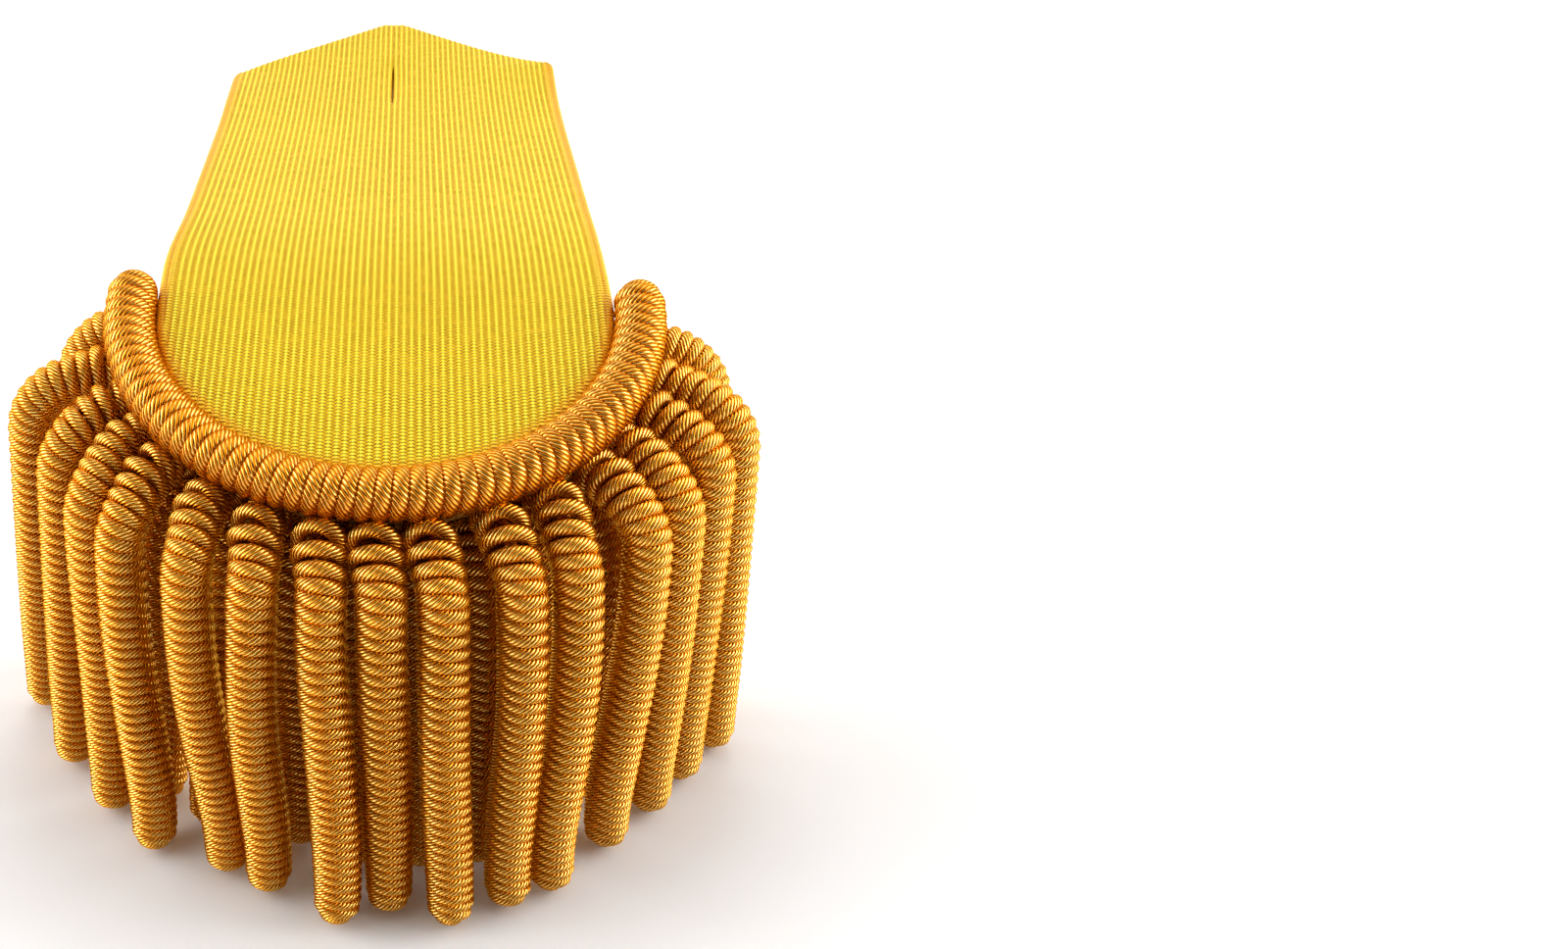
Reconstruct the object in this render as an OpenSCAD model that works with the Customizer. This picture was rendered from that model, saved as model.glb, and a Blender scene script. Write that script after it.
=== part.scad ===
// Shoulder epaulette with a lace strap, a coiled rim and two rows of hanging bullions.
// It stands on the tips of its fringe, as it does on a table. +Z is up, and +Y runs
// from the fringe along the strap to its pointed end.

/* [Strap] */
// Width over the rolled edges at the rounded end
strap_w = 71.4; // [62:0.2:78]
// Width over the rolled edges at the two far corners
far_w = 68.6; // [58:0.2:76]
// Thickness of the lace-covered board
strap_t = 3.4; // [3:0.1:4.4]
// Radius of the rolled long edges
edge_r = 1.4; // [0.8:0.1:1.45]
// Length along the top from the centre of the rounded end to the far corners
body_len = 106; // [96:1:120]
// Length of the point beyond the far corners
point_len = 22; // [14:1:28]
// Width of the blunt tip of the point
tip_w = 4; // [3.2:0.2:8]
// Height of the flat middle of the strap above the table
crest_z = 79; // [76:1:86]

/* [Bends] */
// Slope of the rounded end, down towards the fringe, in degrees
front_slope = 16; // [8:1:20]
// Length of the bend between the slope and the flat middle
bend_len = 28; // [20:1:34]
// Length of the flat middle
flat_len = 41; // [36:1:50]
// Slope of the pointed end at its tip, upwards, in degrees
far_rise = 12; // [4:1:16]
// Height that the right far corner curls up
corner_lift = 1.6; // [0:0.2:2.4]
// Height that the left far corner droops
corner_drop = 1; // [0:0.2:2]
// Length of strap that takes part in the curl, each way from a corner
lift_len = 16; // [10:1:20]

/* [Buttonhole] */
// Length of the slit
slit_len = 20; // [14:1:24]
// Width of the slit
slit_w = 1.2; // [0.8:0.1:2]
// Distance from the far corners' line back to the middle of the slit
slit_back = 7.5; // [4:0.5:12]

/* [Rim] */
// Diameter of the coiled rim
rim_d = 8; // [7:0.2:9]
// Length of the straight leg at each end of the half circle
leg_len = 1.2; // [0.6:0.2:8]

/* [Fringe] */
// Diameter of a bullion
bullion_d = 7.7; // [6.4:0.1:7.8]
// Diameter of the thinner neck that joins a bullion to its heading strip
neck_d = 6; // [4:0.2:6]
// Angle that each row spans round the rounded end, in degrees
row_sweep = 180; // [178:1:188]
// Downward slope of a front bullion's neck, in degrees
front_dip = 9.5; // [9:0.5:16]
// Distance outside the rim at which a front bullion has turned down
front_reach = 6.6; // [6.4:0.1:9]
// Distance outside the rim at which a side bullion has turned down
side_reach = 11.5; // [9:0.1:13]
// Radius of a front bullion's bend
front_bend = 5.5; // [5:0.5:6.5]
// Radius of a side bullion's bend
side_bend = 8.5; // [6:0.5:9]
// Outward lean of a front bullion, in degrees
front_lean = 10; // [6:0.5:11]
// Outward lean of a side bullion, in degrees
side_lean = 4; // [2:0.5:6]
// Radial width of the heading strip that a row is fused to
head_w = 7; // [5:0.5:8]
// Distance inside the rim's inner face at which the outer row is rooted
root_inset = 2; // [1:0.5:4]
// Distance from the roots of the outer row in to those of the inner row
root_step = 7.2; // [7:0.1:8]
// Space between the hanging parts of the two rows
row_gap = 0.5; // [0.4:0.1:1]

/* [Tongue] */
// Width of the metal tongue under the strap
tongue_w = 14; // [10:1:20]
// Thickness of the tongue
tongue_t = 1.2; // [0.8:0.1:1.6]
// Length of its end that is fixed to the strap
tongue_fix = 12; // [8:1:16]
// Length of its free end
tongue_free = 30; // [20:1:36]
// Space between the free end and the strap, for the loop on the shoulder
loop_gap = 3; // [2:0.2:4]
// Length over which the tongue steps down from its fixed end to its free end
tongue_step = 4.8; // [4:0.2:7]
// Distance of the fixed end from the start of the strap's flat middle
tongue_start = 1; // [0:0.5:4]

/* [Fit] */
// Clearance between neighbouring pieces
seat_gap = 0.3; // [0.2:0.05:0.4]

/* [Hidden] */
$fn = 48;

strap_r = strap_w / 2;
strap_len = body_len + point_len;
bend_r = bend_len * 180 / (PI * front_slope);
rise_start = bend_len + flat_len;
rise_r = (strap_len - rise_start) * 180 / (PI * far_rise);
flat_y = bend_r * sin(front_slope);
centre_z = crest_z - bend_r * (1 - cos(front_slope));

rim_r = strap_r + seat_gap + rim_d / 2;
bullion_r = bullion_d / 2;
outer_level = -(rim_d / 2 + seat_gap + bullion_r);
inner_level = outer_level - bullion_d - seat_gap;
row_step = bullion_d + row_gap;
outer_root = rim_r - rim_d / 2 - root_inset;
inner_root = outer_root - root_step;

// A bar reaches this far into the end of a bend, which is this much thicker than the bar, so
// that the two join in a clean edge
seam_in = 0.3;
seam_step = 0.05;

// Slope of the strap's top at a distance u along it from the centre of the rounded end,
// as the angle at which it climbs towards +Y
function slope_at(u) =
    u < 0 ? front_slope :
    u < bend_len ? front_slope * (1 - u / bend_len) :
    u < rise_start ? 0 :
    far_rise * (u - rise_start) / (strap_len - rise_start);

// Place of the strap's top at a distance u along it, as [y, z]
function top_at(u) =
    let (s = slope_at(u))
    u < 0 ? [u * cos(s), centre_z + u * sin(s)] :
    u < bend_len ? [flat_y - bend_r * sin(s), crest_z - bend_r * (1 - cos(s))] :
    u < rise_start ? [flat_y + u - bend_len, crest_z] :
    [flat_y + flat_len + rise_r * sin(s), crest_z + rise_r * (1 - cos(s))];

// Half width of the strap at a distance u along it
function half_width(u) =
    u < 0 ? max(sqrt(max(0, strap_r * strap_r - u * u)), tip_w / 2) :
    u < body_len ? strap_r + (far_w / 2 - strap_r) * u / body_len :
    far_w / 2 + (tip_w / 2 - far_w / 2) * (u - body_len) / point_len;

// Lift of the curled right corner, or droop of the left one, at a place across and along
// the strap
function corner_curl(x, u) =
    let (
        across = abs(x) / (far_w / 2),
        along = max(0, 1 - abs(u - body_len) / lift_len)
    )
    (x > 0 ? corner_lift : -corner_drop) * pow(across, 3) * pow(along, 1.5);

// Stations along the strap: the rounded end, the body and the point
cap_steps = 9;
body_steps = 20;
point_steps = 6;
stations = concat(
    [for (i = [0:cap_steps - 1]) -strap_r * cos(90 * i / cap_steps)],
    [for (i = [0:body_steps - 1]) body_len * i / body_steps],
    [for (i = [0:point_steps]) body_len + point_len * i / point_steps]
);

// One side of a section's outline, from the middle of its top round the rolled edge to the
// middle of its bottom, as [share of the flat half width, angle round the edge]
top_shares = [0.25, 0.5, 0.75];
edge_angles = [90, 45, 0, -45, -90];
side_outline = concat(
    [for (share = top_shares) [share, 90]],
    [for (angle = edge_angles) [1, angle]],
    [for (i = [len(top_shares) - 1:-1:0]) [top_shares[i], -90]]
);
half_outline = concat([[0, 90]], side_outline, [[0, -90]]);
outline = concat(
    [for (p = half_outline) [p[0], p[1], 1]],
    [for (i = [len(side_outline) - 1:-1:0]) [side_outline[i][0], side_outline[i][1], -1]]
);
outline_count = len(outline);

// A point of the section at u, where p is [share, angle, side]
function section_point(u, p) =
    let (
        s = slope_at(u),
        top = top_at(u),
        x = p[2] * (p[0] * (half_width(u) - edge_r) + edge_r * cos(p[1])),
        depth = strap_t / 2 - sign(p[1]) * (strap_t / 2 - edge_r) - edge_r * sin(p[1])
    )
    [x, top[0] + depth * sin(s), top[1] - depth * cos(s) + corner_curl(x, u)];

// The middle of a section, where the faces that close an end of the strap meet
function section_middle(u) =
    let (s = slope_at(u), top = top_at(u))
    [0, top[0] + strap_t / 2 * sin(s), top[1] - strap_t / 2 * cos(s)];

skin_count = len(stations) * outline_count;
last_ring = skin_count - outline_count;
strap_points = concat(
    [for (u = stations, p = outline) section_point(u, p)],
    [section_middle(stations[0]), section_middle(strap_len)]
);
strap_faces = concat(
    [for (i = [0:outline_count - 1]) [skin_count, i, (i + 1) % outline_count]],
    [for (k = [0:len(stations) - 2], i = [0:outline_count - 1], half = [0, 1])
        let (
            a = k * outline_count + i,
            b = k * outline_count + (i + 1) % outline_count,
            c = a + outline_count,
            d = b + outline_count
        )
        half == 0 ? [a, c, b] : [b, c, d]],
    [for (i = [0:outline_count - 1])
        [skin_count + 1, last_ring + (i + 1) % outline_count, last_ring + i]]
);

// Places of the bullions round the rounded end, from left to right, as shares of half the
// row's sweep, with the front at 0. They hang a little unevenly, and the inner ones sit where
// the outer row leaves gaps.
outer_places = [
    -1, -0.883, -0.744, -0.606, -0.489, -0.35, -0.236, -0.122, -0.011,
    0.1, 0.239, 0.367, 0.511, 0.633, 0.756, 0.878, 1
];
inner_places = [
    -0.9, -0.761, -0.622, -0.483, -0.344, -0.2, -0.061,
    0.078, 0.22, 0.359, 0.494, 0.633, 0.772, 0.911
];
function row_angles(places) = [for (place = places) place * row_sweep / 2];

// A value that goes from its front size to its side size round the row
function blend_round(angle, front, side) = front + (side - front) * pow(sin(angle), 2);

// Distance from the centre at which a bullion of a row has turned down
function turned_r(angle, step_in) =
    rim_r + rim_d / 2 - step_in + blend_round(angle, front_reach, side_reach);

// Radius of a bullion's bend, its direction in plan, the downward slopes of its neck and of
// the strap's plane in that direction, and the distance and height of its root
function bend_at(angle) = blend_round(angle, front_bend, side_bend);
function plan_angle(angle) = atan2(sin(angle), cos(angle) * cos(front_slope));
function neck_slope(angle) = asin(cos(angle) * sin(front_dip));
function root_slope(angle) = asin(cos(angle) * sin(front_slope));
function root_r(root, angle) = root * cos(root_slope(angle));
function root_z(root, level, angle) =
    centre_z + level * cos(front_slope) - root * sin(root_slope(angle));

// Forward shift of a point that lies at a level under the sloping end
level_y = [for (level = [outer_level, inner_level]) -level * sin(front_slope)];

// Height of a bullion's middle where it has turned down
function bend_end_z(angle, root, level, step_in) =
    let (
        slope = neck_slope(angle),
        last = 90 - blend_round(angle, front_lean, side_lean),
        across = bend_at(angle) * (sin(last) - sin(slope)),
        run = turned_r(angle, step_in) - across - root_r(root, angle)
    )
    root_z(root, level, angle) - run * tan(slope) - bend_at(angle) * (cos(slope) - cos(last));

// Plan distance from the row's centre to the middle of a bullion's tip
function tip_r(angle, root, level, step_in) =
    turned_r(angle, step_in)
    + (bend_end_z(angle, root, level, step_in) - bullion_r)
    * tan(blend_round(angle, front_lean, side_lean));

front_edge = min([for (angle = row_angles(outer_places))
    level_y[0] - tip_r(angle, outer_root, outer_level, 0) * cos(plan_angle(angle)) - bullion_r]);
back_edge = max([for (p = strap_points) p[1]]);
mid_y = (front_edge + back_edge) / 2;

// Puts a shape of the working frame, whose y is 0 at the centre of the rounded end, into the
// middle of the whole part
module centred() {
    translate([0, -mid_y, 0]) children();
}

// Puts a flat shape into the sloping plane of the strap's rounded end
module on_slope() {
    centred() translate([0, 0, centre_z]) rotate([front_slope, 0, 0]) children();
}

module strap() {
    cut_depth = strap_t * 4;
    slit_u = body_len - slit_back;
    slit_place = top_at(slit_u);
    color("gold")
    centred()
    difference() {
        polyhedron(strap_points, strap_faces, convexity = 4);
        translate([0, slit_place[0], slit_place[1]])
            rotate([slope_at(slit_u), 0, 0])
            cube([slit_w, slit_len, cut_depth], center = true);
    }
}

module rim() {
    color("goldenrod")
    on_slope() {
        rotate([0, 0, 180])
            rotate_extrude(angle = 180)
            translate([rim_r, 0])
            circle(d = rim_d);
        for (side = [-1, 1])
            translate([side * rim_r, 0, 0])
            rotate([-90, 0, 0])
            closed_end(rim_d / 2, leg_len);
    }
}

// A round bar from z = 0 up to a domed end, whose dome is centred at the bar's length
module closed_end(r, bar_len) {
    rotate_extrude() {
        square([r, bar_len]);
        intersection() {
            translate([0, bar_len]) circle(r);
            translate([0, bar_len]) square(r);
        }
    }
}

// One bullion in the plane of its own direction: out from the root, round the bend and down.
// The bend is a hair thicker than the bars that reach into its ends.
module bullion(angle, root, level, step_in) {
    slope = neck_slope(angle);
    lean = blend_round(angle, front_lean, side_lean);
    last = 90 - lean;
    bend = bend_at(angle);
    across = bend * (sin(last) - sin(slope));
    run = (turned_r(angle, step_in) - across - root_r(root, angle)) / cos(slope);
    end_z = bend_end_z(angle, root, level, step_in);
    drop = (end_z - bullion_r) / cos(lean);
    rotate([0, 0, plan_angle(angle) - 90]) {
        translate([root_r(root, angle), 0, root_z(root, level, angle)])
            rotate([0, slope, 0]) {
                rotate([0, 90, 0]) cylinder(d = neck_d, h = run + seam_in);
                translate([run, 0, -bend])
                    rotate([90, 0, 0])
                    rotate([0, 0, 90 - (last - slope)])
                    rotate_extrude(angle = last - slope)
                    translate([bend, 0])
                    circle(r = bullion_r + seam_step);
            }
        translate([turned_r(angle, step_in), 0, end_z])
            rotate([0, 180 - lean, 0])
            translate([0, 0, -seam_in])
            closed_end(bullion_r, drop + seam_in);
    }
}

// A row of bullions fused to the strip that they hang from
module bullion_row(places, root, level, step_in, head_top, shift) {
    head_low = level - bullion_r / 2;
    color("orange") {
        on_slope()
            translate([0, 0, head_low])
            rotate([0, 0, -90 - row_sweep / 2])
            rotate_extrude(angle = row_sweep)
            translate([root + bullion_r - head_w, 0])
            square([head_w, head_top - head_low]);
        centred()
            translate([0, shift, 0])
            for (angle = row_angles(places))
            bullion(angle, root, level, step_in);
    }
}

module fringe_outer() {
    bullion_row(outer_places, outer_root, outer_level, 0, -strap_t - seat_gap, level_y[0]);
}

module fringe_inner() {
    head_top = outer_level - bullion_r / 2 - seat_gap;
    bullion_row(inner_places, inner_root, inner_level, row_step, head_top, level_y[1]);
}

// Side outline of the tongue: a plate, a step down and a free end that runs level
module tongue_side() {
    free_start = tongue_fix + tongue_step;
    free_end = free_start + tongue_free;
    step_back = tongue_t / 2;
    polygon([
        [0, 0],
        [tongue_fix, 0],
        [free_start, -loop_gap],
        [free_end, -loop_gap],
        [free_end, -loop_gap - tongue_t],
        [free_start - step_back, -loop_gap - tongue_t],
        [tongue_fix - step_back, -tongue_t],
        [0, -tongue_t]
    ]);
}

// Plan outline of the tongue, with a round free end
module tongue_plan() {
    straight = tongue_fix + tongue_step + tongue_free - tongue_w / 2;
    translate([-tongue_w / 2, 0]) square([tongue_w, straight]);
    translate([0, straight]) circle(d = tongue_w);
}

module tongue() {
    color("peru")
    centred()
    translate([0, flat_y + tongue_start, crest_z - strap_t - seat_gap])
    intersection() {
        rotate([90, 0, 90])
            linear_extrude(tongue_w, center = true)
            tongue_side();
        translate([0, 0, -loop_gap - 2 * tongue_t])
            linear_extrude(loop_gap + 3 * tongue_t)
            tongue_plan();
    }
}

strap();
rim();
fringe_outer();
fringe_inner();
tongue();
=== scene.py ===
import math
from collections import namedtuple

import bpy
import numpy as np
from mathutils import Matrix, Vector


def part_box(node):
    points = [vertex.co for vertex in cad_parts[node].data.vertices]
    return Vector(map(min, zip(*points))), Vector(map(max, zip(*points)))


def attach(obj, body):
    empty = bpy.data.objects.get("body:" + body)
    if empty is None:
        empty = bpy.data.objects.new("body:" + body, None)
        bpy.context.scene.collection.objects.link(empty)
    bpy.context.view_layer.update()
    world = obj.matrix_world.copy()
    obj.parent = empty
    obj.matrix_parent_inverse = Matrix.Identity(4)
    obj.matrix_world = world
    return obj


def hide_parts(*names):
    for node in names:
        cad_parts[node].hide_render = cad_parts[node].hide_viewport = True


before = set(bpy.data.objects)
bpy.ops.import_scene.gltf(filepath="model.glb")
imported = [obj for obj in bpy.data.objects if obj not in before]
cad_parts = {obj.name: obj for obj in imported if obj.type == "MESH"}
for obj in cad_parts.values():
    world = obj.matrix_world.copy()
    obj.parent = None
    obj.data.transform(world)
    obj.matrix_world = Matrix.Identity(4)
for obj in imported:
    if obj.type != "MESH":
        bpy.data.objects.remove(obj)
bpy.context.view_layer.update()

MM = 0.001
FULL_TURN = 2 * math.pi

# Sizes of the strap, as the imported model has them
STRAP_WIDTH = 71.4 * MM
FAR_WIDTH = 68.6 * MM
STRAP_THICKNESS = 3.4 * MM
EDGE_RADIUS = 1.4 * MM
BODY_LENGTH = 106 * MM
POINT_LENGTH = 22 * MM
TIP_WIDTH = 4 * MM
CREST_HEIGHT = 79 * MM
FRONT_SLOPE = math.radians(16)
BEND_LENGTH = 28 * MM
FLAT_LENGTH = 41 * MM
FAR_RISE = math.radians(12)
CORNER_LIFT = 1.6 * MM
CORNER_DROP = 1 * MM
LIFT_LENGTH = 16 * MM
SLIT_LENGTH = 20 * MM
SLIT_BACK = 7.5 * MM

# Sizes of the rim and of the fringe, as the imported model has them
RIM_DIAMETER = 8 * MM
BULLION_DIAMETER = 7.7 * MM
HALF_SWEEP = 90
FRONT_DIP = math.radians(9.5)
FRONT_REACH = 6.6 * MM
SIDE_REACH = 11.5 * MM
FRONT_BEND = 5.5 * MM
SIDE_BEND = 8.5 * MM
FRONT_LEAN = math.radians(10)
SIDE_LEAN = math.radians(4)
HEAD_WIDTH = 7 * MM
ROOT_INSET = 2 * MM
ROOT_STEP = 7.2 * MM
ROW_GAP = 0.5 * MM
SEAT_GAP = 0.3 * MM

# What follows from them
STRAP_RADIUS = STRAP_WIDTH / 2
STRAP_LENGTH = BODY_LENGTH + POINT_LENGTH
BEND_RADIUS = BEND_LENGTH / FRONT_SLOPE
RISE_START = BEND_LENGTH + FLAT_LENGTH
RISE_RADIUS = (STRAP_LENGTH - RISE_START) / FAR_RISE
FLAT_Y = BEND_RADIUS * math.sin(FRONT_SLOPE)
CENTRE_HEIGHT = CREST_HEIGHT - BEND_RADIUS * (1 - math.cos(FRONT_SLOPE))
RIM_RADIUS = STRAP_RADIUS + SEAT_GAP + RIM_DIAMETER / 2
BULLION_RADIUS = BULLION_DIAMETER / 2
OUTER_LEVEL = -(RIM_DIAMETER / 2 + SEAT_GAP + BULLION_RADIUS)
INNER_LEVEL = OUTER_LEVEL - BULLION_DIAMETER - SEAT_GAP
ROW_STEP = BULLION_DIAMETER + ROW_GAP
OUTER_ROOT = RIM_RADIUS - RIM_DIAMETER / 2 - ROOT_INSET
INNER_ROOT = OUTER_ROOT - ROOT_STEP
HEAD_LOW = BULLION_RADIUS / 2
FAR_END_Y = (FLAT_Y + FLAT_LENGTH + RISE_RADIUS * math.sin(FAR_RISE)
             + STRAP_THICKNESS * math.sin(FAR_RISE))
# Where the centre of the rounded end lies in the frame
CENTRE_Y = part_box("strap")[1].y - FAR_END_Y

# The purl, a cord of gilt wires that every bullion and the rim are wound from: its half width,
# its wires, and the mesh steps in a turn of the coil and round the purl
PURL_RADIUS = 1.2 * MM
WIRES_ACROSS = 11
WIRES_PER_TURN = 30
TURN_STEPS = 24
SECTION_STEPS = 10
# The places along a coil at which its turns are counted, how far the coil goes over a closed
# end, and the rings that round off the purl's two cut ends
COIL_SAMPLES = 1600
DOME_SWEEP = math.radians(78)
CUT_RINGS = np.radians([80, 55, 28])
# A centre line's bend is read at even steps and averaged over a few of them
BEND_SAMPLES = 400
BEND_WINDOW = 17

# A bullion's centre line: the steps of its run under the rim, its bend and its fall, and the
# share of the run at which it starts
RUN_STEPS = 14
BEND_STEPS = 24
FALL_STEPS = 60
RUN_START = 0.1

# A bullion's neck: how far past the rim's middle it ends, its radius, and the length over which
# it widens, with the part of it that lies before the neck's end
NECK_PAST = 1 * MM
NECK_RADIUS = 3.15 * MM
NECK_LENGTH = 6 * MM
NECK_BEFORE = 4 * MM

# A bullion's open turns, measured from the neck's end: how far they rise and swell, and where
# and how widely
NECK_RISE = 1.3 * MM
RISE_PLACE = 3.5 * MM
RISE_WIDTH = 2.5 * MM
SWELL = 0.5 * MM
SWELL_PLACE = 4.5 * MM
SWELL_WIDTH = 3.5 * MM

# The step from turn to turn, in mm: at the top, what the open turns add, how gently they close
# at the front and at the sides, and how much the turns close up further down
TOP_STEP = 2.05
OPEN_STEP = 3.0
OPEN_LENGTH = 3.5 * MM
FRONT_CLOSING = 3.5
SIDE_CLOSING = 9
LOW_CLOSING = 0.55
# The shares of the length at which that starts and over which it goes on
CLOSING_START = 0.15
CLOSING_SHARE = 0.7
# How much thinner the tip is, and the same two shares for it
TIP_TAPER = 0.25 * MM
TAPER_START = 0.8
TAPER_SHARE = 0.2
# Half the purl's width as a share of the step, and the change of direction, in degrees, that
# turns the coil's start once round
BULLION_PRESS = 0.51
START_SPAN = 250

# The cord inside the open turns, before and after the neck's end, with its rounded ends
CORE_BEFORE = 5 * MM
CORE_AFTER = 16 * MM
CORE_RADIUS = 1.3 * MM
CORE_ROUNDING = 2 * MM
CORE_TAPER = 0.99
CORE_RINGS = 30
CORE_SIDES = 8
CORE_MAP_WIDTH = 0.1

# The rim's coil, and its legs behind the half circle
RIM_OVERSIZE = 0.1 * MM
RIM_STEP = 2.55 * MM
RIM_PRESS = 0.58
RIM_PURL_HALF = 1.5 * MM
ARC_STEPS = 120
LEG_STEPS = 4
LEFT_LEG = 2 * MM
RIGHT_LEG = 0.3 * MM

# The webbing strips that the rows are sewn to: their corners, their steps, how far they go past
# the half circle each side in degrees, how their ends shrink, and what their map covers
HEAD_CORNER = 0.8 * MM
HEAD_STEPS = 160
HEAD_PAST_LEFT = 6
HEAD_PAST_RIGHT = 1
HEAD_END = 0.02
HEAD_NEAR_END = 0.75
WEBBING_HALF = 80 * MM
WEBBING_SPAN = 160 * MM
WEBBING_ROUND = 40 * MM

# The lace: ribs on the flat part of the strap, mesh steps to a rib, rows along the strap, the
# ribs' height and fullness, and the stretch that the lace's map covers
RIBS = 58
RIB_STEPS = 5
STRAP_ROWS = 110
RIB_HEIGHT = 0.3 * MM
RIB_FULLNESS = 0.8
FLAT_HALF = STRAP_RADIUS - EDGE_RADIUS
RIB_PITCH = 2 * FLAT_HALF / RIBS
LACE_HALF = 39 * MM
LACE_FRONT = -41 * MM
LACE_SPAN = 174 * MM
THREAD_PITCH = 0.66 * MM

# How far the rounded end spreads against the rim, and over what length that fades
SPREAD = 0.45 * MM
SPREAD_LENGTH = 34 * MM
# Half the gap of the slit, closed and open, how far from it the lace is pushed aside, and how
# far and how widely its walls slant sideways
SLIT_CLOSED = 0.03 * MM
SLIT_GAP = 0.22 * MM
SLIT_PUSH = 2.5 * MM
SLIT_SLANT = 1.1 * MM
SLANT_WIDTH = 5 * MM
# The dimple round the slit: its depth, its width, and its reach as a share of the slit's length
DIMPLE_DEPTH = 0.9 * MM
DIMPLE_WIDTH = 3.2 * MM
DIMPLE_REACH = 0.55
# How far the left edge stands out beside the rim, and where and how widely
FLARE = 0.6 * MM
FLARE_PLACE = 14 * MM
FLARE_WIDTH = 10 * MM
# How far the flat part's corners lie before the far corners
LEFT_CORNER_BACK = 1.6 * MM
RIGHT_CORNER_BACK = 0.8 * MM
# The rings of the rolled edge, above and below its outermost line
TOP_RINGS = 9
LOW_RINGS = 5

# A hanging bullion. It turns from one direction to the next, in degrees from the front: at its
# neck, where it has turned down, and at its tip. Reach and out are how far it stands out there
# beyond the row, and bow is how far it bends sideways, in mm. Loose is the share by which its
# first turns are open.
Hang = namedtuple("Hang", "neck top tip reach out bow loose")
OUTER_ROW = [
    Hang(-96.0, -93.0, -91.5, -5.0, 3.0, -0.4, 0.10),
    Hang(-82.0, -79.0, -80.5, 1.8, 0.0, 0.6, 0.35),
    Hang(-71.0, -66.5, -64.0, -0.8, -0.5, -0.5, 0.50),
    Hang(-61.0, -54.0, -50.0, -0.3, -2.2, 0.5, 0.50),
    Hang(-50.0, -45.0, -38.0, 0.0, -2.0, -0.6, 0.70),
    Hang(-36.0, -31.3, -25.2, 0.0, -4.5, -1.1, 0.65),
    Hang(-23.5, -20.0, -17.3, 0.0, -3.2, -1.0, 0.95),
    Hang(-11.4, -9.0, -5.9, 0.0, 0.6, 0.2, 1.00),
    Hang(-1.6, 0.2, 1.3, 0.0, -2.2, 0.1, 1.00),
    Hang(8.5, 9.6, 9.7, 0.0, 1.2, -0.3, 0.95),
    Hang(22.5, 22.0, 18.5, 0.0, -0.2, 0.5, 1.00),
    Hang(35.0, 31.6, 25.7, 0.0, -0.6, 0.8, 0.95),
    Hang(47.5, 45.6, 38.5, 0.0, -3.2, 0.6, 0.60),
    Hang(57.5, 54.3, 50.0, 0.0, -3.2, 0.8, 0.50),
    Hang(68.5, 66.0, 60.3, 0.0, -2.4, 0.4, 0.50),
    Hang(79.0, 75.0, 70.3, 1.8, -1.2, 0.7, 0.45),
    Hang(89.5, 88.0, 81.0, -3.0, 1.5, -0.4, 0.10),
]
INNER_ROW = [
    Hang(-81.0, -81.0, -79.5, 0.0, 0.0, 0.3, 0.2),
    Hang(-68.5, -69.5, -69.0, 0.0, 0.4, -0.4, 0.3),
    Hang(-56.0, -57.5, -57.0, 0.0, 0.0, 0.3, 0.3),
    Hang(-43.5, -45.5, -44.5, 0.0, 0.0, 0.3, 0.3),
    Hang(-31.0, -32.0, -33.0, 0.0, -0.5, -0.4, 0.5),
    Hang(-18.0, -18.5, -15.5, 0.0, -2.8, 0.4, 0.3),
    Hang(-5.5, -5.5, -3.0, 0.0, -0.6, -0.3, 0.3),
    Hang(7.0, 6.2, 6.5, 0.0, 0.2, 0.3, 0.3),
    Hang(19.8, 19.0, 16.5, 0.0, 1.0, 0.2, 0.5),
    Hang(32.3, 32.5, 32.0, 0.0, 0.3, 0.4, 0.3),
    Hang(44.5, 45.5, 44.0, 0.0, -0.6, 0.3, 0.5),
    Hang(57.0, 58.0, 54.5, 0.0, -1.0, -0.4, 0.3),
    Hang(69.5, 70.5, 67.0, 0.0, -0.6, 0.3, 0.3),
    Hang(82.0, 82.0, 78.5, 0.0, 0.0, 0.4, 0.3),
]

# The photograph's camera
CAMERA_PLACE = Vector((3.77 * MM, CENTRE_Y - 217.2 * MM, 177.4 * MM))
CAMERA_TILT = math.radians(58.4)
CAMERA_TURN = math.radians(0.71)
CAMERA_LENS = 34.785
CAMERA_SENSOR = 36
CAMERA_SHIFT = 0.25

# The floor's half width, in metres
FLOOR_HALF = 6.0

# The share of a turn at which the rim's coil faces up, where its painted highlight is strongest,
# and how far the lace's ribs give way to the rolled edge on each side of the flat part's outline
UPWARD_SHARE = 0.74
ROLL_INSIDE = 1.6 * MM
ROLL_OUTSIDE = 0.2 * MM

# The colours of the finishes
BULLION_DEEP = (0.94, 0.36, 0.007, 1)
BULLION_GOLD = (1.0, 0.43, 0.012, 1)
# The dark colour between the bullions' wires is painted shade
BULLION_GAP_SHADE = (0.46, 0.11, 0.002, 1)
# The rim's two tones of gold are the bullions' purl painted darker, as painted shade
RIM_SHADED_DEEP = (0.7, 0.205, 0.003, 1)
RIM_SHADED_GOLD = (0.77, 0.25, 0.005, 1)
RIM_GAP_SHADE = (0.34, 0.07, 0.001, 1)
# The pale colour painted on the purl wires' crests, a painted highlight
WIRE_HIGHLIGHT = (1.0, 0.8, 0.24, 1)
WIRE_EDGE = (1.0, 0.72, 0.3, 1)
LACE_DEEP = (0.92, 0.58, 0.005, 1)
LACE_GOLD = (1.0, 0.67, 0.009, 1)
LACE_DASH = (0.32, 0.145, 0.001, 1)
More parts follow.
